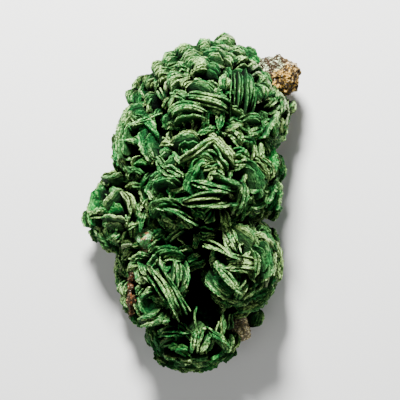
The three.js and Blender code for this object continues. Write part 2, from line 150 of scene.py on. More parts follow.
# Books of plates by the part of the cluster they stand on. A row is the middle of a book's rim as
# x and y, the turn of the rim seen from above, its length, the thickness of the stack, how far the
# plates lean sideways, how far the rim bows sideways, and how dusty and pale it is from 0 to 1.
BOOKS = {
    "crown": (
        (8, 34.3, 5, 4.6, 2.8, -10, 0.8, 0.9), (3, 33.1, 10, 3.2, 2.4, 0, 0.7, 0.67),
        (-1, 31.7, 12, 3.8, 2.4, 0, 0.8, 0.78), (-4.4, 30, 35, 3.6, 2.2, 0, 0.6, 0.73),
        (-7, 28, 30, 3.6, 2.4, 0, 0.6, 0.67), (0.6, 29.6, 14, 4.2, 2.4, 15, 0.9, 0.67),
        (5.4, 30.4, -6, 4, 2.2, 15, 0.9, 0.78), (-9.2, 25.6, 42, 3.2, 2, 20, 0.5, 0.34),
        (-6, 25.6, 15, 4, 3.4, -10, 1, 0.67), (-10.8, 25.4, 40, 2.6, 1.8, 0, 0.4, 0.56),
        (-11.4, 23.9, 32, 4.2, 2.4, 0, 0.7, 0.73), (-12.8, 21.9, 60, 3.4, 2.2, 0, 0.5, 0.67),
        (-8.6, 21.6, 25, 3.6, 1.6, 35, 0.8, 0.34), (-6.6, 22, -45, 3.2, 1.6, 0, 0.4, 0.78),
        (-1.6, 27.2, 5, 2.6, 2.4, 0, 0.8, 0.67), (-3.2, 24.8, 35, 4.2, 3, 10, 1, 0.56),
        (-0.6, 24, 50, 2.6, 2, 0, 0.4, 0.67), (2.4, 27.6, 10, 3.6, 3, 0, 1, 0.73),
        (5, 27.6, -30, 3.6, 2, 20, 0.3, 0.2), (10.6, 31, 5, 3.8, 2.6, 0, 0.6, 0.73),
        (13.2, 31.8, -30, 3.4, 1.8, 20, 0.4, 0.15), (14.2, 29.6, -50, 2.6, 1.8, 25, 0.3, 0.05),
        (8.4, 29.6, -60, 3.4, 1.8, 0, 0.3, 0.56), (11.6, 28.6, 20, 4, 2.6, 0, 0.5, 0.67),
        (7.3, 24.6, 75, 4.4, 1.8, 0, 0.2, 0.56), (11.6, 22.8, 88, 9, 6, 0, 0, 0.29),
        (8.2, 24, 80, 2.4, 1.4, 0, 0.2, 0.84), (15.2, 22.4, -62, 4.6, 1.8, 0, 0.8, 0.67),
        (16.2, 23.6, -32, 3.2, 1.2, 20, 0.2, 0.39), (14.4, 26.8, 20, 3.2, 3, 0, 0.4, 0.95),
        (13.2, 28, -40, 2.6, 2.4, 0, 0.3, 0.9), (15.6, 25.2, 50, 2.4, 2.2, 0, 0.3, 0.84),
        (17.4, 22, 10, 3, 2, 20, 0.3, 0.34), (18, 19.4, 28, 3.2, 3, 0, 0.3, 0.67),
        (22, 19.8, 18, 2.8, 3.4, 0, 0, 0.9), (18.4, 16.8, 82, 4, 1.6, 0, 0.2, 0.78),
    ),
    "shoulder": (
        (4.2, 20.4, -16, 9, 2.6, 8, 0.4, 0.5), (3.2, 23.6, -28, 6, 2, 35, 0.3, 0.27),
        (6.4, 21.2, -5, 3.6, 1.4, 30, 0.2, 0.24), (-2.2, 20.8, -35, 3.6, 2.4, 0, 0.8, 0.43),
        (-3.6, 19.6, 55, 3.6, 1.6, 0, 0.2, 0.39), (-0.8, 17.4, 12, 7.4, 3.6, 12, 1.8, 0.5),
        (-7.2, 15.6, -64, 5, 2.2, 0, 0.2, 0.46), (-8.6, 17, 33, 6.4, 1, 0, -0.3, 0.46),
        (-11.2, 19.6, 8, 4.6, 1.6, 35, 0.8, 0.19), (-11.8, 17.2, -22, 2.6, 1.2, 20, 0.3, 0.39),
        (-12.4, 15.4, -22, 3.2, 1.8, 0, 0.3, 0.58), (-13.4, 16.4, 72, 5.4, 1.6, 0, -0.3, 0.54),
        (3.6, 16.4, 86, 4, 1.8, 0, 0.2, 0.43), (5.2, 17.6, -10, 3, 1, 0, 0.2, 0.43),
        (8.2, 18.4, 40, 3, 1, 0, 0.2, 0.43), (10.6, 18.2, -38, 3.8, 1.6, 25, 0.2, 0.27),
        (12.8, 17, 4, 4.8, 1.6, 25, 0.6, 0.31), (6.4, 15.6, 84, 4, 2.2, 0, 0.2, 0.62),
        (3.4, 14, 20, 3.6, 2.2, 15, 0.8, 0.54), (9, 16, -10, 2.4, 2, 20, 0.3, 0.24),
        (9.4, 14.8, 14, 4, 1.2, 0, 0.2, 0.43), (11.6, 14.8, -40, 3.6, 1.6, 25, 0.3, 0.24),
        (7.4, 10.6, -62, 7.4, 2.6, 0, 0, 0.77), (9.8, 12.6, -52, 4.4, 2.4, 0, 0.4, 0.66),
        (12, 11.6, -48, 4.8, 1.4, 25, 1, 0.27), (13.6, 13.8, 14, 3.8, 2.4, 0, 0.2, 0.5),
        (16.2, 14.4, 45, 5.4, 1.8, 0, 0.2, 0.62), (14.6, 10.4, 72, 4.6, 2.6, 0, 0.2, 0.54),
        (17, 12.4, -40, 3.2, 2, 40, 0.8, 0.39), (17.8, 14.2, -80, 3.8, 1.4, 0, 0.2, 0.31),
        (18.2, 8.8, -78, 5.6, 1.4, 50, 0.2, 0.02), (16.1, 11.2, -60, 3, 1.2, 0, 0.2, 0.55),
        (6.8, 13.6, -60, 2.4, 1.2, 0, 0.1, 0.6),
    ),
    "waist": (
        (11.2, 9.8, -16, 3.6, 2.4, 10, 0.4, 0.42), (10.8, 7.6, 8, 3.8, 2, 0, 0.2, 0.53),
        (15.6, 6.8, -50, 5, 2.6, 0, 0.8, 0.45), (14.4, 5.4, -58, 7, 1.4, 30, 0.8, 0.27),
        (8.6, 4.8, -20, 6.4, 1, 20, -0.3, 0.38), (11.4, 4.8, 70, 2, 1, 0, 0, 0.53),
        (2.2, 6.4, 60, 4.2, 2, -30, 0.3, 0.08), (4.6, 5.2, 50, 4, 0.8, 0, 0.1, 0.57),
        (4.6, 7.2, 14, 4, 1.4, 10, 0.3, 0.27), (3.4, 9.4, -4, 4.8, 2.6, 0, 0.5, 0.5),
        (2, 10.8, 36, 8.6, 1.4, 0, 0.2, 0.6), (4.6, 2.8, -9, 8.6, 1.8, 0, 0.1, 0.65),
        (2.6, 1, 8, 8, 1.2, 20, 0.3, 0.38), (4.4, -1, 0, 9.6, 1.4, 0, 0.1, 0.57),
        (11, 0.4, 82, 5.6, 2.4, 0, -0.4, 0.42), (13, 1, 62, 2.6, 1, 0, 0, 0.5),
        (13.8, 2.4, 4, 3.6, 0.8, 0, 0, 0.45), (14.8, -1, -12, 3.8, 1.4, 0, -0.4, 0.45),
        (17.2, 1.4, 80, 5, 1, 0, -0.4, 0.53), (18.5, 0.6, -84, 6, 1.8, 0, 0.6, 0.5),
        (18.6, -2.6, -75, 4, 1.6, 0, 0.3, 0.45),
    ),
    "waist_left": (
        (-14.2, 12, 88, 6.4, 1.6, 0, 0.4, 0.58), (-12.2, 12.2, -10, 3.8, 1.6, 0, 0.3, 0.54),
        (-9.4, 11, -80, 5.2, 2, -45, -0.5, 0.58), (-4.4, 11.8, -16, 3.2, 1.2, 0, 0.3, 0.58),
        (-0.4, 13.4, 8, 6, 3.4, 15, 1.4, 0.46), (-2.2, 8.6, -55, 3.4, 1, 0, 0.1, 0.54),
        (-5, 10.2, 20, 2.4, 1.6, 15, 0.3, 0.3), (-3.8, 8.8, 40, 3.2, 1.2, 35, 0.4, 0.17),
        (-6, 8, -48, 3.4, 2.2, 0, 0.1, 0.39), (-3.4, 6.2, -22, 4.6, 2.2, 0, 0.1, 0.62),
        (-7.2, 5.6, 30, 3.8, 1.8, 35, 0.1, 0.35), (-5.2, 4.4, 12, 5.2, 1.4, 35, 0.9, 0.35),
        (-0.8, 5, 68, 5.8, 1.4, 45, 0.8, 0.62), (-8.4, 1.6, -55, 3.2, 1.4, -30, 0, 0.58),
        (-12, 3.4, 14, 4.2, 1, 15, 0.3, 0.43), (-12.4, 5, 80, 2.2, 1.2, 0, 0, 0.46),
        (-10, 8.4, 12, 3.4, 1, 35, 0.3, 0.08), (-10.4, 6.4, -8, 3.4, 1, 30, 0.3, 0.13),
        (-14, 7.4, -22, 3.4, 2.2, 0, 0.4, 0.58), (-15.8, 5.8, -22, 5, 2.2, 0, 0.2, 0.58),
        (-7.2, -0.8, 38, 6.8, 1.6, 35, 1.4, 0.39), (-4.6, 0.2, 6, 5, 1.4, 35, 0.5, 0.17),
        (-9.8, -1.8, 88, 3.8, 1.2, 0, 0, 0.62), (-9, -4.2, 85, 4, 1.2, 20, 0.3, 0.46),
        (-2.4, -2.4, -17, 7.4, 1, 25, 0.5, 0.46), (-5.4, -4.4, 85, 3.4, 1, 0, 0, 0.51),
        (1.2, -2.6, -62, 2.6, 1.2, 0, 0, 0.46), (2.6, -2.8, -60, 2.6, 1.2, 0, 0, 0.46),
        (-4.4, -3.6, -60, 3.6, 1.4, 0, 0, 0.62), (-0.6, -4.6, -70, 3.4, 1.2, 0, 0, 0.54),
    ),
    "left_lobe": (
        (-20.9, 0.6, 66, 7.6, 1.2, 50, 1, 0.08), (-16, 1.2, 42, 5.4, 1, 25, 0.2, 0.6),
        (-12.2, 0.8, -72, 5, 1.8, 0, 0.8, 0.8), (-14.8, -0.4, 5, 2.8, 1.4, 45, 0.1, 0),
        (-17, -0.8, -20, 2.6, 1.4, 40, 0.2, 0.04), (-20, -2.8, 8, 5, 1.6, 0, 0.6, 0.8),
        (-18.2, -2, 30, 2.2, 1.8, 0, 0.3, 0.8), (-15.4, -2.8, 5, 4.6, 1.4, 42, 0.5, 0.85),
        (-12.4, -4, 80, 2.2, 1, 0, 0, 0.65), (-20.2, -7.2, -60, 2.4, 1.6, 0, 0.3, 0.98),
        (-18.6, -7.2, -60, 3.4, 2, 0, 0.4, 0.7), (-17.4, -8.8, -55, 3.4, 1.4, -40, 0.4, 0.3),
        (-15, -7.6, 48, 3.2, 1.8, 0, 0.1, 0.6), (-10.6, -4.4, 22, 3, 1.4, 30, 0.2, 0.4),
        (-12.4, -9, 20, 3, 2.2, 0, 0.4, 0.85), (-21.8, -4, 70, 3.2, 1.6, 0, 0.3, 0.65),
        (-18.8, -5.4, 5, 1.8, 1, 0, 0.1, 0.7), (-8.6, -1.1, 70, 2.6, 1.2, 0, 0, 0.7),
    ),
    "right_rosette": (
        (8, -6, -64, 6.8, 3.2, 0, 0, 0.8), (7.8, -4.2, -68, 3.8, 2, 0, 0, 0.66),
        (3.8, -5.6, -5, 3.4, 1.2, 35, 0.1, 0.33), (11.6, -5.6, -48, 6, 1.6, 28, 1.4, 0.38),
        (10.2, -8.4, 48, 2.2, 0.8, 0, 0, 0.56), (5.6, -9, -21, 9.8, 1.8, 0, 0, 0.89),
        (11.8, -10.2, 30, 3, 0.8, 0, 0, 0.7), (10.6, -12.4, 0, 6.4, 3.2, 0, 0, 0.7),
        (13.8, -13.2, -82, 7, 0.8, 0, 0.4, 0.66), (15, -10.6, -66, 6, 0.8, 20, 0.9, 0.28),
        (17, -11.4, -84, 8.4, 1, 28, 0.9, 0.28), (16, -7.8, -25, 4.2, 1.8, 0, 0.6, 0.7),
        (15.2, -14.2, 80, 3.2, 1.6, 30, 0.3, 0.8), (12.8, -15.2, -40, 2.2, 1.2, 0, 0, 0.66),
        (15.6, -5.2, 10, 2.6, 2, 10, 0.3, 0.19), (17.9, -5.8, 80, 3, 1.6, 0, 0.2, 0.56),
        (4.6, -17.6, -42, 6.4, 1.4, -50, 0, 0.75), (7.2, -15, -50, 7.4, 2, 0, 0.2, 0.66),
        (4.6, -10.6, 80, 3.6, 1, 0, 0, 0.66), (10.4, -18.2, 72, 5.2, 2.4, 0, 0, 0.66),
        (12.4, -18.6, 62, 4.6, 1, 0, -0.4, 0.56), (13.4, -17.4, 30, 3.4, 1.2, 15, 0.1, 0.66),
        (1.4, -11, 20, 3, 1.4, 15, 0.3, 0.56), (1.8, -12.8, 20, 3.4, 1.4, 15, 0.3, 0.56),
        (10.6, -20.8, -8, 5.6, 0.8, 0, 0, 0.56), (13.4, -22.2, 34, 5.8, 1.8, 0, 0, 0.52),
        (15.4, -23.9, 30, 4.2, 1.4, 0, 0, 0.47), (11, -22.8, 12, 4.2, 1.6, 10, 0, 0.47),
        (15.6, -20.2, 65, 5, 1.2, 0, -0.3, 0.47), (4.4, -7.1, -10, 3.8, 1.2, 20, 0.1, 0.7),
    ),
    "left_spray": (
        (-1.2, -14, 86, 6.4, 4.4, 0, 0, 0.56), (-2.8, -11.2, 10, 5, 1, 20, 0.4, 0.52),
        (-4.8, -18, -58, 12, 2.8, 0, 0.2, 0.58), (-2.4, -17.4, -60, 10.8, 1, 0, 0.2, 0.47),
        (-0.6, -18.2, 20, 2.2, 0.8, 40, 0, 0.66), (-9.6, -13.2, -42, 3.8, 1, 0, 0, 0.7),
        (-8.6, -15, -30, 2.2, 1.8, 0, 0.2, 0.75), (-9, -18.2, 34, 4.2, 1, 15, 0, 0.61),
        (-11.5, -24.6, -45, 3.6, 1.8, 0, 0, 0.56), (-9.8, -21.4, -75, 4.6, 1.6, -50, -0.3, 0.66),
        (-7.6, -24, 38, 6.4, 2.8, 0, 0.1, 0.56), (-4.8, -24.2, -65, 3, 1, 0, 0, 0.61),
        (-3.8, -26.2, -3, 6, 1, 0, 0.1, 0.42), (-3, -6.6, 40, 3.6, 1, 0, 0, 0.7),
        (-6.6, -6, 20, 2.8, 1.4, 20, 0.2, 0.47), (-0.8, -8.8, 10, 3.8, 1.2, 20, 0.2, 0.47),
        (1.6, -7.2, 80, 3.2, 1.4, 0, 0, 0.56), (-4.6, -7.4, -75, 2.6, 0.8, 0, 0, 0.56),
        (-4.6, -9.4, 8, 5.2, 1.4, 35, 1, 0.23), (-7.6, -8.8, 42, 3.6, 1.4, 0, 0, 0.56),
        (-10.8, -10.6, -8, 4.4, 1.8, 0, 0.1, 0.56), (-14.8, -14, 60, 3, 2.4, 0, 0.3, 0.85),
        (-16.4, -9.8, -45, 3.4, 2.2, 0, 0.2, 0.66), (-14.8, -11.8, -60, 3.2, 2.2, 0, 0.2, 0.7),
        (-14.9, -15.9, -40, 2.6, 2.2, 0, 0.2, 0.75), (-13.6, -17.8, 80, 3.2, 2.2, 0, 0.3, 0.75),
        (-13.1, -20.8, -75, 3.2, 2, 0, -0.2, 0.75), (-11.8, -12.8, 10, 3.4, 2, 0, 0.3, 0.56),
        (-10, -8.7, 10, 3, 1.4, 10, 0.2, 0.65), (-13, -10.7, 40, 3, 1.8, 0, 0.2, 0.7),
    ),
    "tip": (
        (1.6, -23.6, 90, 5.6, 0.8, 0, 0, 0.14), (1.6, -28.4, 80, 5, 1.8, 0, 0.3, 0.56),
        (3.4, -28.8, 55, 4.4, 1.2, 0, 0, 0.52), (6.8, -27.8, -42, 5.6, 2.2, 0, 0.1, 0.52),
        (7.2, -24.2, 75, 4.4, 1.2, 20, 0.2, 0.38), (9, -23.6, 60, 3.4, 1.6, 0, 0.2, 0.47),
        (-2.4, -29, 15, 3, 1.4, 35, 0.3, 0.04), (-0.6, -30.6, -30, 2.6, 1.2, 40, 0.2, 0.04),
        (-5, -28.4, 40, 3.4, 1.6, 20, 0.2, 0.19), (-6.6, -31.6, -55, 2.8, 1.4, -10, -0.2, 0.42),
        (-6, -33.4, -28, 2.8, 1.4, -10, -0.2, 0.47), (-4.2, -31.6, -25, 3.4, 1.2, 10, 0, 0.47),
        (-0.8, -32.4, -5, 3.6, 1.2, 0, 0, 0.56), (2.6, -32, 10, 3.4, 1.2, 15, 0, 0.38),
        (5.8, -31.2, 25, 3.6, 1.2, 35, 0, 0.11), (-3.6, -34.4, -10, 3.4, 1.4, -10, -0.3, 0.52),
        (-0.6, -35.1, -5, 3.4, 1.4, 0, -0.3, 0.52), (2.2, -35, 5, 3.4, 1.4, 0, -0.3, 0.52),
        (5.4, -34.5, 12, 4, 1.6, -15, -0.4, 0.13), (9, -32.3, 42, 3.6, 1.6, -10, -0.2, 0.19),
        (8.8, -29.2, 78, 3.6, 1.4, 0, -0.2, 0.42), (-6.9, -28.6, -65, 3.6, 1.6, 0, -0.3, 0.38),
        (-7.7, -26.8, -50, 3, 1.6, 0, -0.3, 0.47),
    ),
}

# Smaller books that fill the gaps and the flanks, in millimetres, degrees and shares
FILLS = {
    "front": {"flank": False, "seed": 50, "spacing": 2.25, "length": 3.4, "stack": 1.5, "lean": 28,
              "proud": 0.6, "dust": 0.4},
    "flank": {"flank": True, "seed": 60, "spacing": 2.75, "length": 4.3, "stack": 2.2, "lean": 30,
              "proud": 0.72, "dust": 0.5},
}
LOWER_SEED = 5  # what the lower piece of a fill adds to its seed
FILL_CLEAR = 1.6
FILL_SPLIT = 4.0  # the fill above this y is one piece, and below it another
FILL_LOWEST = 2.6
MOUND_CLEAR = 0.6  # how far out of the other mounds the fill stays, as a share of its own
ROCK_CLEAR = 1.3
STRIP_CREST = 8.0  # books grow over the side of the strip below this
FLANK_UP = 0.35  # growth that points up less than this is on the flank
BLADE_SHARE = 0.28  # the share of the fill that is single pale blades
BLADE = {"stack": 0.5, "lean": 1.5, "bow": 0.2, "dust": 0.85}  # lean and bow are shares of the book's

# How the fill varies: the least value, the spread above it and the offset of its seed. Length,
# stack, lean and dust are shares of the style's own, and bow is a share of FILL_BOW.
FILL_VARIES = {
    "length": (0.7, 0.7, 0.0),
    "stack": (0.6, 0.9, 0.3),
    "lean": (-1.0, 2.0, 0.6),
    "bow": (-0.3, 1.0, 0.1),
    "dust": (0.4, 1.2, 0.2),
    "turn": (0.0, 360.0, 0.9),
    "kind": (0.0, 1.0, 0.8),
}
FILL_BOW = 0.9
SEEDS_PER_MOUND = 1000
FLANK_SEED = 0.5

# How the books vary, each as the ends of a range
BOOK_RANGES = {
    "pinch": (0.0, 0.85),  # how far a thin stack closes towards its ends
    "thick_pinch": (0.0, 0.3),
    "pinch_at": (-0.4, 0.4),
    "crown": (0.0, 0.3),  # how much lower the outer plates are
    "square": (4.0, 12.0),  # how square the corners of the plates are
    "drop": (0.05, 0.35),  # how far the rims fall towards their ends
    "pack": (0.95, 1.25),  # the plates' thickness as a share of the pitch
    "phase": (0.0, 6.0),
    "swing": (1.2, 2.8),
    "hue": (0.0, 1.0),
}
THICK_STACK = 2.4  # the plates of a stack thicker than this stay side by side to their ends
HANG_STACK = 4.0  # the plates of a stack thicker than this hang apart
HANG_SPREAD = 2.0
HANG_PACK = 0.6
DOME_FROM = 15.0  # the y from which books become rounded lumps
DOME_OVER = 7.0
DOME_CROWN = 0.25  # the crown, corners and drop that a full lump has or adds
DOME_SQUARE = 2.4
DOME_DROP = 0.2
DOME_TIGHT = 0.5

# How the plates of one book vary, each as the ends of a range
PLATE_RANGES = {
    "shorter": (-0.06, 0.28),
    "lower": (-0.03, 0.1),
    "luck": (0.0, 1.0),
    "broken": (0.8, 0.95),
    "shift": (-0.1, 0.1),
    "thick": (0.8, 1.25),
    "lean": (-0.16, 0.16),
    "tip": (-0.05, 0.05),
    "twist": (-0.1, 0.1),
    "drop": (0.6, 1.4),
    "notch_waves": (4.0, 10.0),
    "phase": (0.0, 6.0),
    "flutter_along": (2.0, 6.0),
    "flutter_up": (1.0, 3.0),
    "mark": (0.0, 100.0),
    "dust": (0.7, 1.25),
    "place": (-0.25, 0.25),
}
BROKEN_SHARE = 0.22  # the share of the plates that are broken off lower
GAP_SHARE = 0.16  # the share of the plates inside a stack that are missing
# The faces of the outer plates in a stack lie open, so their painted shade stops short of their bases.
OPEN_SHARE = 0.34  # plates further out in a stack than this show their faces
OPEN_DEPTH = 0.78  # the brightness that such a face reaches, from 0 at its base to 1 at its rim
OPEN_BASE = 0.45
OPEN_SLOPE = 0.6

# The form of a plate: counts, millimetres, and shares of its length and height
LONG_PLATE = 4.8
LONG_COLUMNS = 16
SHORT_COLUMNS = 9
PLATE_ROWS = 4
ROW_CROWD = 1.6  # rows crowd together towards the rim
BASE_WIDTH = 0.52
FULL_WIDTH_AT = 0.66
PINCH_POWER = 1.6
LEAST_SPREAD = 0.12
BOW_SHARE = 0.8
BOW_POWER = 1.6
FLUTTER = 0.6
THIN_RIM = 0.15
THIN_ENDS = 0.3
BOOK_TONE = 0.6  # the share of a plate's tone that comes from its book
RIM_PLACES = (-0.36, -0.12, 0.12, 0.36)  # where fill keeps clear along a book's rim
SMOOTH_BELOW = 35  # edges that turn less than this are smooth

# The rock and the dark mass between the plates, in millimetres
ROCK_VOXEL = 0.4
ROCK_RELIEFS = ((5.0, 1.0), (1.8, 0.8), (0.7, 0.35))  # grain, and a share of the relief setting
MASS_VOXEL = 0.8
MASS_GRAIN = 1.6
MASS_RELIEF = 1.2
MASS_INSET = 0.8  # how far the mass lies under the mounds

# The stage, in metres and watts: a light's place from the middle of the view, its size and power
FLOOR_SIZE = 4
CLIP_START = 0.01
LIGHTS = {
    "key": ((-0.03, 0.22, 0.20), 0.07, 5.2),
    "fill": ((-0.24, -0.24, 0.42), 0.50, 1.15),
    "side": ((0.45, -0.10, 0.25), 0.40, 0.65),
}
SKY_COLOUR = (0.85, 0.93, 1, 1)
SKY_STRENGTH = 0.07

CRYSTAL_NODE = "torbernite_crystals"
ROCK_NODE = "matrix"
BODY = "root"


# Settings that a user would change

def length_setting(name, description, default, least=0.0):
    return bpy.props.FloatProperty(
        name=name, description=description, default=default * MM, min=least * MM, precision=5, unit="LENGTH")


class ClusterSizes(bpy.types.PropertyGroup):
    plate_pitch: length_setting("Plate pitch", "Distance between plates along a book's rim", 0.36, 0.1)
    rim_notch: length_setting("Rim notch", "Depth of the notches along a plate's rim", 0.1)
    ripple: length_setting("Plate ripple", "How far a plate waves out of its plane", 0.14)
    rock_grain: length_setting("Rock relief", "Depth of the rock's grains and pits", 2.6)


def colour_setting(name, description, default):
    return bpy.props.FloatVectorProperty(
        name=name, description=description, default=default, size=3, min=0, max=1, subtype="COLOR")


class ClusterColours(bpy.types.PropertyGroup):
    face: colour_setting("Plate face", "Green of a clean plate face", (0.006, 0.11, 0.026))
    emerald: colour_setting("Emerald face", "Bright green of the cleanest faces", (0.014, 0.42, 0.06))
    olive: colour_setting("Dull face", "Olive green of a weathered face", (0.032, 0.075, 0.016))
    mint: colour_setting("Mint rim", "Clean mint green of the frosted rims", (0.06, 0.48, 0.10))
    rim: colour_setting("Frosted rim", "Pale grey-green of the frosted rims", (0.155, 0.47, 0.125))
    yellow_rim: colour_setting("Yellow rim", "Yellow-green of some frosted rims", (0.32, 0.51, 0.14))
    cream: colour_setting("Dusty rim", "Cream of the dustiest rims", (0.64, 1.0, 0.33))
    tan: colour_setting("Tan dust", "Grey tan of the dustiest slabs", (0.58, 0.68, 0.38))
    # Painted shade: the near black that the plates darken to towards their bases and in the grooves of their
    # faces, and the colour of the mass between the books.
    depth: colour_setting("Depths", "Near black green between the plates", (0.0006, 0.003, 0.001))
    rock_pale: colour_setting("Pale rock", "Cream grains of the rock", (0.66, 0.62, 0.44))
    rock_ochre: colour_setting("Ochre rock", "Golden ochre stain of the rock", (0.55, 0.32, 0.06))
    # Painted shade: the near black brown of the rock's small pits and cracks, where its hollows are shaded.
    rock_hollow_shade: colour_setting("Dark rock", "Brown pits of the rock", (0.03, 0.018, 0.009))


class StageSettings(bpy.types.PropertyGroup):
    lens: bpy.props.FloatProperty(
        name="Lens", description="Focal length of the camera",
        default=200.0, min=20.0, subtype="DISTANCE_CAMERA")
    view_width: length_setting("View width", "Width of the view at the middle of the cluster", 80, 10)
    view_centre: bpy.props.FloatVectorProperty(
        name="View centre", description="Point of the cluster at the middle of the view",
        default=(2.4 * MM, 0.5 * MM, 18 * MM), size=3, subtype="TRANSLATION")
    floor_colour: colour_setting("Floor", "Colour of the floor", (0.74, 0.74, 0.72))


# Where books stand

def chance(n):
    """A repeatable number from 0 to 1 for each number."""
    s = math.sin(n * 12.9898 + 4.1414) * 43758.5453
    return s - math.floor(s)


def unit(v):
    return v / np.linalg.norm(v)


def turned(v, axis, angle):
    """v turned about a unit axis that is square to it."""
    return v * math.cos(angle) + np.cross(axis, v) * math.sin(angle)


def growth_at(x, y, proud):
    """The point above x, y on the mounds grown by proud, and the direction of growth there."""
    best = None
    nearest = None
    for cx, cy, cz, rx, ry, rz in MOUNDS.values():
        a, b, c = rx + proud, ry + proud, rz + proud
        reach = ((x - cx) / a) ** 2 + ((y - cy) / b) ** 2
        z = cz + c * math.sqrt(max(0.0, 1 - reach))
        growth = unit(np.array([(x - cx) / a**2, (y - cy) / b**2, (z - cz) / c**2]))
        found = (reach, np.array([x, y, z]), growth)
        if reach < 1 and (best is None or z > best[1][2]):
            best = found
        if nearest is None or reach < nearest[0]:
            nearest = found
    return (best or nearest)[1:]


def inside_another(point, own, proud):
    """True where a point is inside a mound other than its own, when each is grown by proud."""
    for name, (cx, cy, cz, rx, ry, rz) in MOUNDS.items():
        reach = (((point[0] - cx) / (rx + proud)) ** 2 + ((point[1] - cy) / (ry + proud)) ** 2
                 + ((point[2] - cz) / (rz + proud)) ** 2)
        if name != own and reach < 1:
            return True
    return False


def on_rock(point, flank):
    """True where a point is in or just outside the rock. Flank books grow over the strip's side."""
    for name, rock in ROCKS.items():
        if flank and name == "left_strip" and point[2] < STRIP_CREST:
            continue
        away = (point - np.array(rock[:3])) / (np.array(rock[3:]) + ROCK_CLEAR)
        if np.dot(away, away) < 1:
            return True
    return False


def in_hollow(point):
    """True where a point is seen inside one of the dark gaps."""
    for x, y, rx, ry in HOLLOWS.values():
        if ((point[0] - x) / rx) ** 2 + ((point[1] - y) / ry) ** 2 < 1:
            return True
    return False


def height_of(length, lean):
    """The height of a book's plates. A leaning book's are taller."""
    upright = min(TALLEST_PLATE, max(SHORTEST_PLATE, HEIGHT_PER_LENGTH * length + HEIGHT_MORE))
    return upright + abs(lean) / LEAN_PER_MM


def place_book(row, spot=None):
    """The middle of a book's rim, its axes and its sizes, in millimetres."""
    x, y, turn, length, stack, lean, bow, dust = row
    height = height_of(length, lean)
    proud = PROUD_SHARE * height * math.cos(math.radians(lean))
    point, growth = spot or growth_at(x, y, proud)
    angle = math.radians(turn)
    trace = np.array([math.cos(angle), math.sin(angle), 0.0])
    across = unit(np.cross(growth + FLAT_PULL * UP, trace))
    out = unit(growth - across * np.dot(growth, across))
    along = unit(np.cross(across, out))
    out = turned(out, along, -math.radians(lean))
    across = turned(across, along, -math.radians(lean))
    return {"point": point, "along": along, "out": out, "across": across, "length": length,
            "stack": stack, "height": height, "bow": bow, "dust": dust}


def rim_points(book):
    """Points along a book's rim."""
    return [book["point"] + k * book["length"] * book["along"] for k in RIM_PLACES]


def fill_book(style, point, growth, seed):
    """A book of the fill at a point, varied by its seed. Some are single pale blades."""
    def varied(name):
        least, spread, offset = FILL_VARIES[name]
        return least + spread * chance(seed + offset)

    length = style["length"] * varied("length")
    stack = style["stack"] * varied("stack")
    lean = style["lean"] * varied("lean")
    bow = FILL_BOW * varied("bow")
    dust = style["dust"] * varied("dust")
    if varied("kind") < BLADE_SHARE:
        stack, lean, bow, dust = BLADE["stack"], BLADE["lean"] * lean, BLADE["bow"] * bow, BLADE["dust"]
    row = (point[0], point[1], varied("turn"), length, stack, lean, bow, dust)
    return place_book(row, (point, growth))


def fill_books(style, taken):
    """Books at the points of a spiral round each mound that lie clear of those already there."""
    found = []
    flank = style["flank"]
    proud = PROUD_SHARE * height_of(style["length"], 0) * style["proud"]
    rims = np.array([point for book in taken for point in rim_points(book)])
    for m, (name, mound) in enumerate(MOUNDS.items()):
        centre, radius = np.array(mound[:3]), np.array(mound[3:], dtype=float)
        rx, ry, rz = radius
        area = 4 * math.pi * (rx * ry + rx * rz + ry * rz) / 3
        count = round(area / style["spacing"] ** 2)
        for i in range(count):
            w = 1 - 2 * (i + 0.5) / count
            ring = math.sqrt(1 - w * w)
            d = np.array([ring * math.cos(i * GOLDEN_ANGLE), ring * math.sin(i * GOLDEN_ANGLE), w])
            growth = unit(d / radius)
            point = centre + d * (radius + proud)
            if (growth[2] < FLANK_UP) != flank or point[2] < FILL_LOWEST:
                continue
            if inside_another(point, name, MOUND_CLEAR * proud):
                continue
            if on_rock(point, flank) or (not flank and in_hollow(point)):
                continue
            if np.linalg.norm(rims - point, axis=1).min() < FILL_CLEAR:
                continue
            seed = SEEDS_PER_MOUND * m + i + (FLANK_SEED if flank else 0)
            found.append(fill_book(style, point, growth, seed))
            rims = np.append(rims, [point], axis=0)
    return found


# The mesh of a plate

def picker(rng, ranges):
    """A function that draws from one of the ranges, by its name."""
    def pick(name):
        return rng.uniform(*ranges[name])
    return pick


def book_character(rng, book):
    """What the plates of one book share. Books high on the cluster are rounded lumps."""
    pick = picker(rng, BOOK_RANGES)
    dome = min(1.0, max(0.0, (book["point"][1] - DOME_FROM) / DOME_OVER))
    return {
        "pinch": pick("pinch" if book["stack"] < THICK_STACK else "thick_pinch"),
        "pinch_at": pick("pinch_at"),
        "crown": pick("crown") + DOME_CROWN * dome,
        "square": pick("square") * (1 - dome) + DOME_SQUARE * dome,
        "drop": pick("drop") + DOME_DROP * dome,
        "pack": HANG_PACK if book["stack"] >= HANG_STACK else pick("pack"),
        "loose": 1 - DOME_TIGHT * dome,
        "phase": pick("phase"),
        "swing": pick("swing"),
        "hue": pick("hue"),
    }


def plate_size(book, share, character, pick, pitch):
    """The length, height, shift along the rim and thickness of one plate."""
    loose = character["loose"]
    crown = 1 - character["crown"] * (2 * share) ** 2
    length = book["length"] * (1 - loose * pick("shorter"))
    height = book["height"] * (1 - loose * pick("lower")) * crown
    if pick("luck") < BROKEN_SHARE:
        height *= pick("broken")
    shift = book["length"] * loose * pick("shift")
    thick = pitch * character["pack"] * pick("thick")
    return length, height, shift, thick


def plate_axes(book, loose, pick):
    """The directions of one plate, a little off those of its book."""
    lean = loose * pick("lean")
    out = unit(book["out"] + book["along"] * lean + book["across"] * loose * pick("tip"))
    along = book["along"] + book["across"] * loose * pick("twist")
    along = unit(along - out * np.dot(along, out))
    return out, along, np.cross(out, along)


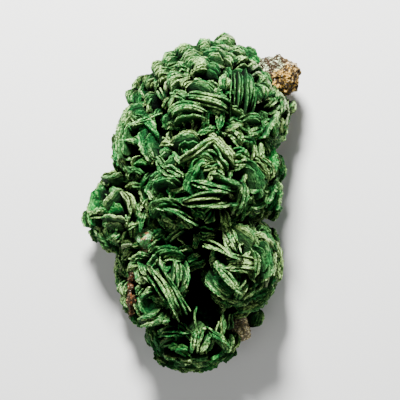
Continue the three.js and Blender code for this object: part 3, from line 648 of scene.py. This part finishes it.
def rim_notches(columns, rng, pick):
    """How far the rim of one plate is nibbled in or stands out at each column."""
    notch = rng.normal(0, 1, columns + 1)
    notch += np.sin(np.linspace(0, pick("notch_waves"), columns + 1) + pick("phase"))
    return notch


def plate_arrays(book, share, character, rng, sizes):
    """One curved plate with a notched rim, closed all round: places, quads and what shades it."""
    pick = picker(rng, PLATE_RANGES)
    columns = LONG_COLUMNS if book["length"] > LONG_PLATE else SHORT_COLUMNS
    length, height, shift, thick = plate_size(book, share, character, pick, sizes["pitch"])
    s, t = np.meshgrid(np.linspace(-1, 1, columns + 1),
                       1 - (1 - np.linspace(0, 1, PLATE_ROWS + 1)) ** ROW_CROWD)
    out, along, across = plate_axes(book, character["loose"], pick)
    start = book["point"] - book["out"] * book["height"]
    drop = character["drop"] * pick("drop")
    reach = 1 - drop * np.abs(s) ** character["square"]
    notch = rim_notches(columns, rng, pick) * sizes["notch"]
    width = BASE_WIDTH + (1 - BASE_WIDTH) * np.minimum(1, t / FULL_WIDTH_AT)
    side = s * 0.5 * length * width + shift * t
    rise = height * t * reach + notch * t**4
    closing = 1 - character["pinch"] * np.abs(s - character["pinch_at"]) ** PINCH_POWER
    fan = BASE_SPREAD + (1 - BASE_SPREAD) * t
    spread = share * book["stack"] * fan * np.maximum(closing, LEAST_SPREAD)
    swing = np.sin(s * character["swing"] + t + character["phase"])
    flutter = np.sin(s * pick("flutter_along") + t * pick("flutter_up") + pick("phase"))
    wave = sizes["ripple"] * (swing + FLUTTER * character["loose"] * flutter)
    bend = spread + BOW_SHARE * book["bow"] * (1 - s * s) * t**BOW_POWER + wave * t
    half = 0.5 * thick * (1 - THIN_RIM * t**3) * (1 - THIN_ENDS * s**4)
    mark = pick("mark")
    places, sheets = [], []
    for sign in (1, -1):
        bulge = bend + sign * half
        grid = start + side[..., None] * along + rise[..., None] * out + bulge[..., None] * across
        places.append(grid.reshape(-1, 3))
        sheets.append(np.stack([side, rise, sign * half + mark], axis=-1).reshape(-1, 3))
    faces, edge = plate_faces(columns, PLATE_ROWS)
    # depth runs from 0 at a plate's base to 1 at its rim and sets how far painted shade darkens the plate.
    # The outer plates' faces get less of it.
    depth = t * reach
    if abs(share) > OPEN_SHARE:
        depth = np.maximum(depth, np.minimum(OPEN_DEPTH, OPEN_BASE + OPEN_SLOPE * depth))
    shade = {
        "depth": np.tile(depth.ravel(), 2),
        "dust": np.full(2 * s.size, np.clip(book["dust"] * pick("dust"), 0, 1)),
        "tone": np.full(2 * s.size, BOOK_TONE * character["hue"] + (1 - BOOK_TONE) * pick("luck")),
        "sheet": np.concatenate(sheets),
    }
    return np.concatenate(places), faces, edge, shade


@functools.cache
def plate_faces(columns, rows):
    """Quads of two sheets and the strip between their borders, and which quads are that strip."""
    wide = columns + 1
    back = wide * (rows + 1)
    quads = []
    for r in range(rows):
        for c in range(columns):
            a = r * wide + c
            quads.append((a, a + 1, a + wide + 1, a + wide))
            quads.append((back + a, back + a + wide, back + a + wide + 1, back + a + 1))
    ring = list(range(columns))
    ring += [r * wide + columns for r in range(rows)]
    ring += [rows * wide + c for c in range(columns, 0, -1)]
    ring += [r * wide for r in range(rows, 0, -1)]
    flat = len(quads)
    for a, b in zip(ring, ring[1:] + ring[:1]):
        quads.append((b, a, back + a, back + b))
    edge = np.zeros(len(quads))
    edge[flat:] = 1
    return np.array(quads), edge


def mesh_of_quads(name, places, faces):
    """A mesh from arrays of places and quads."""
    mesh = bpy.data.meshes.new(name)
    mesh.vertices.add(len(places))
    mesh.vertices.foreach_set("co", places.ravel())
    mesh.loops.add(faces.size)
    mesh.loops.foreach_set("vertex_index", faces.ravel().astype(np.int32))
    mesh.polygons.add(len(faces))
    mesh.polygons.foreach_set("loop_start", np.arange(0, faces.size, 4, dtype=np.int32))
    mesh.update(calc_edges=True)
    mesh.validate()
    return mesh


def books_object(name, books, sizes, seed):
    """All the plates of some books as one joined mesh, with the attributes that shade it."""
    rng = np.random.default_rng(seed)
    pick = picker(rng, PLATE_RANGES)
    places, faces, edges, shades = [], [], [], []
    base = 0
    for book in books:
        pitch = sizes["pitch"] * (HANG_SPREAD if book["stack"] >= HANG_STACK else 1)
        count = max(2, round(book["stack"] / pitch))
        character = book_character(rng, book)
        for k in range(count):
            if 0 < k < count - 1 and pick("luck") < GAP_SHARE:
                continue
            share = (k + 0.5 + pick("place")) / count - 0.5
            p, f, e, shade = plate_arrays(book, share, character, rng, sizes)
            places.append(p)
            faces.append(f + base)
            edges.append(e)
            shades.append(shade)
            base += len(p)
    places = np.concatenate(places)
    places[:, 2] = np.maximum(places[:, 2], CRYSTAL_FLOOR)
    mesh = mesh_of_quads(name, places * MM, np.concatenate(faces))
    mesh.attributes.new("rim_face", "FLOAT", "FACE").data.foreach_set("value", np.concatenate(edges))
    for key in ("depth", "dust", "tone"):
        values = np.concatenate([shade[key] for shade in shades])
        mesh.attributes.new(key, "FLOAT", "POINT").data.foreach_set("value", values)
    sheet = np.concatenate([shade["sheet"] for shade in shades])
    mesh.attributes.new("sheet", "FLOAT_VECTOR", "POINT").data.foreach_set("vector", sheet.ravel())
    piece = bpy.data.objects.new(name, mesh)
    bpy.context.scene.collection.objects.link(piece)
    return piece


# Materials

def new_material(name):
    material = bpy.data.materials.new(name)
    material.use_nodes = True
    tree = material.node_tree
    tree.nodes.clear()
    output = tree.nodes.new("ShaderNodeOutputMaterial")
    shader = tree.nodes.new("ShaderNodeBsdfPrincipled")
    tree.links.new(shader.outputs["BSDF"], output.inputs["Surface"])
    return material, tree, shader


def put(tree, socket, value):
    """Links a socket, or sets it to a plain value."""
    if isinstance(value, bpy.types.NodeSocket):
        tree.links.new(value, socket)
    elif socket.type == "RGBA":
        socket.default_value = (*value, 1)
    else:
        socket.default_value = value


def attribute(tree, name):
    node = tree.nodes.new("ShaderNodeAttribute")
    node.attribute_name = name
    return node.outputs["Fac"]


def maths(tree, operation, a, b, clamp=False):
    node = tree.nodes.new("ShaderNodeMath")
    node.operation = operation
    node.use_clamp = clamp
    put(tree, node.inputs[0], a)
    put(tree, node.inputs[1], b)
    return node.outputs[0]


def times(tree, a, b, clamp=False):
    return maths(tree, "MULTIPLY", a, b, clamp)


def plus(tree, a, b, clamp=False):
    return maths(tree, "ADD", a, b, clamp)


def ramp(tree, value, low, high, to_low=0.0, to_high=1.0):
    """A value carried smoothly from one range to another."""
    node = tree.nodes.new("ShaderNodeMapRange")
    node.interpolation_type = "SMOOTHSTEP"
    put(tree, node.inputs["Value"], value)
    node.inputs["From Min"].default_value = low
    node.inputs["From Max"].default_value = high
    node.inputs["To Min"].default_value = to_low
    node.inputs["To Max"].default_value = to_high
    return node.outputs["Result"]


def mix(tree, share, a, b, blend="MIX"):
    node = tree.nodes.new("ShaderNodeMix")
    node.data_type = "RGBA"
    node.blend_type = blend
    put(tree, node.inputs["Factor"], share)
    put(tree, node.inputs[6], a)
    put(tree, node.inputs[7], b)
    return node.outputs[2]


def grain(tree, size, detail=3.0, rough=0.6):
    """Noise whose features are size millimetres across, on the object's own coordinates."""
    place = tree.nodes.new("ShaderNodeTexCoord")
    node = tree.nodes.new("ShaderNodeTexNoise")
    tree.links.new(place.outputs["Object"], node.inputs["Vector"])
    node.inputs["Scale"].default_value = 1 / (size * MM)
    node.inputs["Detail"].default_value = detail
    node.inputs["Roughness"].default_value = rough
    return node.outputs["Fac"]


def cells(tree, size, feature="F1"):
    """Distance from the middles of cells size millimetres across, or from their borders."""
    place = tree.nodes.new("ShaderNodeTexCoord")
    node = tree.nodes.new("ShaderNodeTexVoronoi")
    node.feature = feature
    tree.links.new(place.outputs["Object"], node.inputs["Vector"])
    node.inputs["Scale"].default_value = 1 / (size * MM)
    return node.outputs["Distance"]


def near(tree, name):
    """1 within one of the patches, falling to 0 a little further out."""
    *centre, radius = PATCHES[name]
    place = tree.nodes.new("ShaderNodeTexCoord")
    node = tree.nodes.new("ShaderNodeVectorMath")
    node.operation = "DISTANCE"
    tree.links.new(place.outputs["Object"], node.inputs[0])
    node.inputs[1].default_value = [value * MM for value in centre]
    return ramp(tree, node.outputs["Value"], 0.8 * radius * MM, 1.1 * radius * MM, 1.0, 0.0)


def bump(tree, shader, height, strength, distance):
    node = tree.nodes.new("ShaderNodeBump")
    node.inputs["Strength"].default_value = strength
    node.inputs["Distance"].default_value = distance * MM
    tree.links.new(height, node.inputs["Height"])
    tree.links.new(node.outputs["Normal"], shader.inputs["Normal"])


def streaks(tree, low, high):
    """Fine streaks that run along a plate, on its faces and on its rim."""
    sheet = tree.nodes.new("ShaderNodeAttribute")
    sheet.attribute_name = "sheet"
    stretch = tree.nodes.new("ShaderNodeMapping")
    stretch.inputs["Scale"].default_value = (0.6, 3.6, 9.0)
    tree.links.new(sheet.outputs["Vector"], stretch.inputs["Vector"])
    node = tree.nodes.new("ShaderNodeTexNoise")
    tree.links.new(stretch.outputs["Vector"], node.inputs["Vector"])
    node.inputs["Scale"].default_value = 1.0
    node.inputs["Detail"].default_value = 3.0
    node.inputs["Roughness"].default_value = 0.6
    return ramp(tree, node.outputs["Fac"], low, high)


def plate_patterns(tree):
    """The attributes and patterns of the plates, and how worn and how yellow they are by them."""
    p = {name: attribute(tree, name) for name in ("depth", "dust", "tone", "rim_face")}
    p["patch"] = ramp(tree, grain(tree, 2.6, 2.0), 0.38, 0.62)
    p["streak"] = streaks(tree, 0.36, 0.64)
    p["speck"] = ramp(tree, grain(tree, 0.36, 4.0, 0.7), 0.4, 0.6)
    p["worn"] = times(tree, p["dust"], ramp(tree, p["patch"], 0.0, 1.0, 0.6, 1.15))
    p["hue"] = plus(tree, times(tree, p["tone"], 0.7), times(tree, p["patch"], 0.4), clamp=True)
    return p


def clean_face(tree, colours, p):
    """Emerald where a plate is clean and olive where it is worn, with its streaks darkened by painted shade
    in their grooves, and painted glints.
    """
    dull = times(tree, plus(tree, p["worn"], 0.35), p["hue"], clamp=True)
    unworn = ramp(tree, p["dust"], 0.04, 0.16, 1.0, 0.0)
    clean = times(tree, unworn, ramp(tree, p["patch"], 0.2, 0.8, 0.4, 1.0))
    face = mix(tree, dull, colours.face, colours.olive)
    face = mix(tree, clean, face, colours.emerald)
    # The face's own streaks, darkened towards near black as painted shade in their grooves.
    streaky = ramp(tree, p["streak"], 0.0, 1.0, 0.25, 1.0)
    mottle = times(tree, streaky, ramp(tree, p["speck"], 0.0, 1.0, 0.6, 1.0))
    face = mix(tree, mottle, colours.depth, face)
    # Painted glints on the clean faces.
    glint = times(tree, clean, ramp(tree, grain(tree, 0.55, 2.0), 0.54, 0.64))
    return mix(tree, glint, face, GLINTS)


def green_rim(tree, colours, p):
    """Mint, grey-green and yellow-green by turns."""
    green = mix(tree, ramp(tree, p["hue"], 0.2, 0.7), colours.mint, colours.rim)
    return mix(tree, ramp(tree, p["tone"], 0.6, 0.85), green, colours.yellow_rim)


def dusty_rim(tree, colours, p, green):
    """Green, then cream and at last tan, the more dust there is."""
    light = plus(tree, times(tree, p["streak"], 0.45), times(tree, p["speck"], 0.35))
    pale = mix(tree, ramp(tree, plus(tree, p["worn"], light), 0.8, 1.35), green, colours.cream)
    return mix(tree, ramp(tree, p["dust"], 0.88, 1.0, 0.0, 0.85), pale, colours.tan)


def frost_share(tree, p):
    """1 where a plate is frosted: on its rim and near it, in patches."""
    near_rim = ramp(tree, p["depth"], 0.82, 1.0, 0.0, 0.95)
    on_rim = times(tree, p["rim_face"], ramp(tree, p["depth"], 0.5, 1.0, 0.05, 1.0))
    frost = maths(tree, "MAXIMUM", on_rim, near_rim)
    frost = times(tree, frost, ramp(tree, p["worn"], 0.0, 0.5, 0.35, 1.0))
    patchy = plus(tree, times(tree, p["speck"], 0.45), times(tree, p["streak"], 0.55))
    return times(tree, frost, ramp(tree, patchy, 0.2, 0.9, 0.04, 1.0))


def plate_material(colours):
    """Emerald faces and frosted pale rims, with painted shade: near black towards the plates' bases, where
    the gaps between them are shaded.
    """
    material, tree, shader = new_material("torbernite_plates")
    p = plate_patterns(tree)
    green = green_rim(tree, colours, p)
    fibres = times(tree, p["streak"], ramp(tree, p["speck"], 0.0, 1.0, 0.4, 1.0))
    film = times(tree, fibres, times(tree, p["worn"], 0.6))
    face = mix(tree, film, clean_face(tree, colours, p), green)
    colour = mix(tree, frost_share(tree, p), face, dusty_rim(tree, colours, p, green))
    # Painted shade: near black towards each plate's base, where the gaps between the plates are shaded.
    colour = mix(tree, ramp(tree, p["depth"], 0.5, 1.0), colours.depth, colour)
    put(tree, shader.inputs["Base Color"], colour)
    put(tree, shader.inputs["Roughness"], ramp(tree, p["depth"], 0.4, 0.85, 1.0, 0.5))
    shader.inputs["IOR"].default_value = 1.5
    shader.inputs["Specular IOR Level"].default_value = 0.07
    bump(tree, shader, plus(tree, p["streak"], p["speck"]), 1.0, 0.12)
    return material


def mass_shade_material(colours):
    """Painted shade on the massive crystal that the plates stand on: near black, as the deep gaps between the
    books are shaded.
    """
    material, tree, shader = new_material("torbernite_mass_shade")
    patch = ramp(tree, grain(tree, 1.2, 4.0, 0.7), 0.4, 0.75)
    put(tree, shader.inputs["Base Color"], mix(tree, patch, (0.0, 0.0, 0.0), colours.depth))
    shader.inputs["Roughness"].default_value = 1.0
    shader.inputs["Specular IOR Level"].default_value = 0.0
    bump(tree, shader, grain(tree, 0.5, 4.0), 0.8, 0.2)
    return material


def rock_colour(tree, colours, crystals):
    """The rock's own colour and each of its patches over it, in grains."""
    patch = ramp(tree, grain(tree, 4.5, 3.0), 0.38, 0.62)
    spots = ramp(tree, grain(tree, 1.3, 3.0), 0.55, 0.61)
    colour = mix(tree, patch, colours.rock_ochre, colours.rock_pale)
    colour = mix(tree, near(tree, "ochre_stain"), colour, colours.rock_ochre)
    colour = mix(tree, times(tree, crystals, 0.5), colour, colours.rock_ochre)
    for name, grains in (("rust", RUST_GRAINS), ("knob_crust", KNOB_GRAINS), ("pale", PALE_GRAINS)):
        colour = mix(tree, near(tree, name), colour, mix(tree, crystals, *grains))
    mint = mix(tree, crystals, *MINT_GRAINS)
    return mix(tree, near(tree, "mint_crust"), colour, mix(tree, spots, mint, ORANGE_SPOTS))


def rock_material(colours):
    """Cream grains with ochre stain and painted shade in the pits and cracks, a mint crust and a red-brown
    strip.
    """
    material, tree, shader = new_material("matrix_rock")
    pits = ramp(tree, grain(tree, 1.1, 5.0, 0.7), 0.46, 0.54)
    crystals = ramp(tree, cells(tree, 0.5), 0.05, 0.5)
    cracks = ramp(tree, cells(tree, 1.3, "DISTANCE_TO_EDGE"), 0.0, 0.14)
    pale, mint = times(tree, near(tree, "pale"), 0.2), times(tree, near(tree, "mint_crust"), 0.75)
    bright = maths(tree, "MAXIMUM", pale, mint)
    # Painted shade in the pits and cracks, lighter on the pale patch and the mint crust.
    bare = maths(tree, "MAXIMUM", times(tree, pits, cracks), times(tree, bright, 0.8))
    colour = mix(tree, bare, colours.rock_hollow_shade, rock_colour(tree, colours, crystals))
    # Painted sparkles: cream specks that stand for highlights on small crystal faces.
    speck = ramp(tree, grain(tree, 0.28, 2.0), 0.62, 0.72)
    colour = mix(tree, times(tree, speck, 0.7), colour, PAINTED_SPARKLES)
    put(tree, shader.inputs["Base Color"], colour)
    shader.inputs["Roughness"].default_value = 0.8
    shader.inputs["Specular IOR Level"].default_value = 0.1
    bump(tree, shader, plus(tree, pits, crystals), 1.0, 0.3)
    return material


# Shared steps

def deselect_all():
    for item in bpy.context.view_layer.objects:
        item.select_set(False)


def select_only(*items):
    deselect_all()
    for item in items:
        item.select_set(True)
    bpy.context.view_layer.objects.active = items[0]


def finish_piece(piece, material, node):
    piece.data.materials.clear()
    piece.data.materials.append(material)
    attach(piece, BODY)
    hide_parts(node)


def sizes_of(settings):
    return {
        "pitch": settings.plate_pitch / MM,
        "notch": settings.rim_notch / MM,
        "ripple": settings.ripple / MM,
    }


def joined_lumps(name, lumps, voxel, inset=0.0):
    """Ellipsoids modelled by primitives, joined, and remeshed to one closed skin."""
    made = []
    for cx, cy, cz, rx, ry, rz in lumps:
        rx, ry, rz = rx - inset, ry - inset, rz - inset
        deselect_all()
        bpy.ops.mesh.primitive_ico_sphere_add(subdivisions=4, radius=MM)
        made.append(bpy.context.active_object)
        bpy.ops.object.mode_set(mode="EDIT")
        bpy.ops.mesh.select_all(action="SELECT")
        bpy.ops.transform.resize(value=(rx, ry, rz))
        bpy.ops.transform.translate(value=(cx * MM, cy * MM, cz * MM))
        bpy.ops.object.mode_set(mode="OBJECT")
    select_only(*made)
    bpy.ops.object.join()
    piece = bpy.context.active_object
    piece.name = name
    piece.data.name = name
    skin = piece.modifiers.new("one_skin", "REMESH")
    skin.mode = "VOXEL"
    skin.voxel_size = voxel * MM
    bpy.ops.object.modifier_apply(modifier=skin.name)
    return piece


def roughen(piece, size, strength):
    """Pushes the skin in and out by a cloudy pattern, its grain in millimetres and its strength in metres."""
    pattern = bpy.data.textures.new(f"{piece.name}_relief", "CLOUDS")
    pattern.noise_scale = size * MM
    pattern.noise_depth = 3
    push = piece.modifiers.new("relief", "DISPLACE")
    push.texture = pattern
    push.texture_coords = "LOCAL"
    push.strength = strength
    push.mid_level = 0.5
    bpy.ops.object.modifier_apply(modifier=push.name)


def cut_flat(piece, level):
    """Cuts a piece off flat at a level and closes the cut."""
    select_only(piece)
    bpy.ops.object.mode_set(mode="EDIT")
    bpy.ops.mesh.select_all(action="SELECT")
    bpy.ops.mesh.bisect(plane_co=(0, 0, level), plane_no=(0, 0, 1), use_fill=True, clear_inner=True,
                        threshold=CUT_SLACK)
    bpy.ops.mesh.select_all(action="SELECT")
    bpy.ops.mesh.normals_make_consistent(inside=False)
    bpy.ops.object.mode_set(mode="OBJECT")


# Operators

class CLUSTER_OT_mass(bpy.types.Operator):
    """Model the massive crystal that the plates grow from"""
    bl_idname = "cluster.mass"
    bl_label = "Crystal mass"

    def execute(self, context):
        piece = joined_lumps("crystal_mass", MOUNDS.values(), MASS_VOXEL, MASS_INSET)
        roughen(piece, MASS_GRAIN, MASS_RELIEF * MM)
        cut_flat(piece, CRYSTAL_FLOOR * MM)
        bpy.ops.object.shade_flat()
        material = mass_shade_material(context.scene.cluster_colours)
        finish_piece(piece, material, CRYSTAL_NODE)
        return {"FINISHED"}


class CLUSTER_OT_books(bpy.types.Operator):
    """Model the books of plates that stand out, part by part of the cluster"""
    bl_idname = "cluster.books"
    bl_label = "Books of plates"

    def execute(self, context):
        sizes = sizes_of(context.scene.cluster_sizes)
        material = plate_material(context.scene.cluster_colours)
        named = []
        for seed, (part, rows) in enumerate(BOOKS.items()):
            books = [place_book(row) for row in rows]
            named += books
            self.add_piece(f"{part}_books", books, sizes, seed, material)
        for part, style in FILLS.items():
            books = fill_books(style, named)
            upper = [b for b in books if b["point"][1] > FILL_SPLIT]
            lower = [b for b in books if b["point"][1] <= FILL_SPLIT]
            self.add_piece(f"upper_{part}_fill", upper, sizes, style["seed"], material)
            self.add_piece(f"lower_{part}_fill", lower, sizes, style["seed"] + LOWER_SEED, material)
        return {"FINISHED"}

    def add_piece(self, name, books, sizes, seed, material):
        piece = books_object(name, books, sizes, seed)
        select_only(piece)
        bpy.ops.object.shade_smooth_by_angle(angle=math.radians(SMOOTH_BELOW))
        finish_piece(piece, material, CRYSTAL_NODE)


class CLUSTER_OT_rock(bpy.types.Operator):
    """Model the rock that the crystals grew on, cut off flat at the back"""
    bl_idname = "cluster.rock"
    bl_label = "Rock"

    def execute(self, context):
        piece = joined_lumps("matrix_rock", ROCKS.values(), ROCK_VOXEL)
        for size, share in ROCK_RELIEFS:
            roughen(piece, size, share * context.scene.cluster_sizes.rock_grain)
        cut_flat(piece, 0.0)
        bpy.ops.object.shade_flat()
        finish_piece(piece, rock_material(context.scene.cluster_colours), ROCK_NODE)
        return {"FINISHED"}


class CLUSTER_OT_stage(bpy.types.Operator):
    """Set the floor, the soft lights and the camera"""
    bl_idname = "cluster.stage"
    bl_label = "Stage"

    def execute(self, context):
        stage = context.scene.cluster_stage
        deselect_all()
        bpy.ops.mesh.primitive_plane_add(size=FLOOR_SIZE)
        floor = context.active_object
        floor.name = "floor"
        material, tree, shader = new_material("floor_paper")
        shader.inputs["Base Color"].default_value = (*stage.floor_colour, 1)
        shader.inputs["Roughness"].default_value = 0.9
        floor.data.materials.append(material)
        target = Vector(stage.view_centre)
        self.add_camera(context, stage, target)
        for name, (offset, size, power) in LIGHTS.items():
            self.add_light(context, name, target, Vector(offset), size, power)
        if context.scene.world is None:
            context.scene.world = bpy.data.worlds.new("studio")
        context.scene.world.use_nodes = True
        back = context.scene.world.node_tree.nodes["Background"]
        back.inputs["Color"].default_value = SKY_COLOUR
        back.inputs["Strength"].default_value = SKY_STRENGTH
        return {"FINISHED"}

    def add_camera(self, context, stage, target):
        data = bpy.data.cameras.new("view")
        data.lens = stage.lens
        camera = bpy.data.objects.new("view", data)
        context.scene.collection.objects.link(camera)
        distance = stage.view_width * stage.lens / data.sensor_width
        camera.location = target + Vector((0, 0, distance))
        data.clip_start = CLIP_START
        context.scene.camera = camera

    def add_light(self, context, name, target, offset, size, power):
        data = bpy.data.lights.new(name, "AREA")
        data.shape = "DISK"
        data.size = size
        data.energy = power
        light = bpy.data.objects.new(name, data)
        context.scene.collection.objects.link(light)
        light.location = target + offset
        light.rotation_euler = offset.to_track_quat("Z", "Y").to_euler()


class CLUSTER_PT_panel(bpy.types.Panel):
    """Lists the cluster's pieces and settings"""
    bl_idname = "CLUSTER_PT_panel"
    bl_label = "Torbernite Cluster"
    bl_space_type = "VIEW_3D"
    bl_region_type = "UI"
    bl_category = "Cluster"

    def draw(self, context):
        for group in ("cluster_sizes", "cluster_colours", "cluster_stage"):
            settings = getattr(context.scene, group)
            box = self.layout.box()
            for name in settings.bl_rna.properties.keys():
                if name not in ("rna_type", "name"):
                    box.prop(settings, name)
        for operator in PIECES:
            self.layout.operator(operator.bl_idname)


PIECES = (CLUSTER_OT_mass, CLUSTER_OT_books, CLUSTER_OT_rock, CLUSTER_OT_stage)
CLASSES = (ClusterSizes, ClusterColours, StageSettings, *PIECES, CLUSTER_PT_panel)


def register():
    for item in CLASSES:
        bpy.utils.register_class(item)
    bpy.types.Scene.cluster_sizes = bpy.props.PointerProperty(type=ClusterSizes)
    bpy.types.Scene.cluster_colours = bpy.props.PointerProperty(type=ClusterColours)
    bpy.types.Scene.cluster_stage = bpy.props.PointerProperty(type=StageSettings)


def unregister():
    del bpy.types.Scene.cluster_sizes
    del bpy.types.Scene.cluster_colours
    del bpy.types.Scene.cluster_stage
    for item in reversed(CLASSES):
        bpy.utils.unregister_class(item)


def main():
    register()
    bpy.ops.cluster.stage()
    bpy.ops.cluster.rock()
    bpy.ops.cluster.mass()
    bpy.ops.cluster.books()


if __name__ == "__main__":
    main()
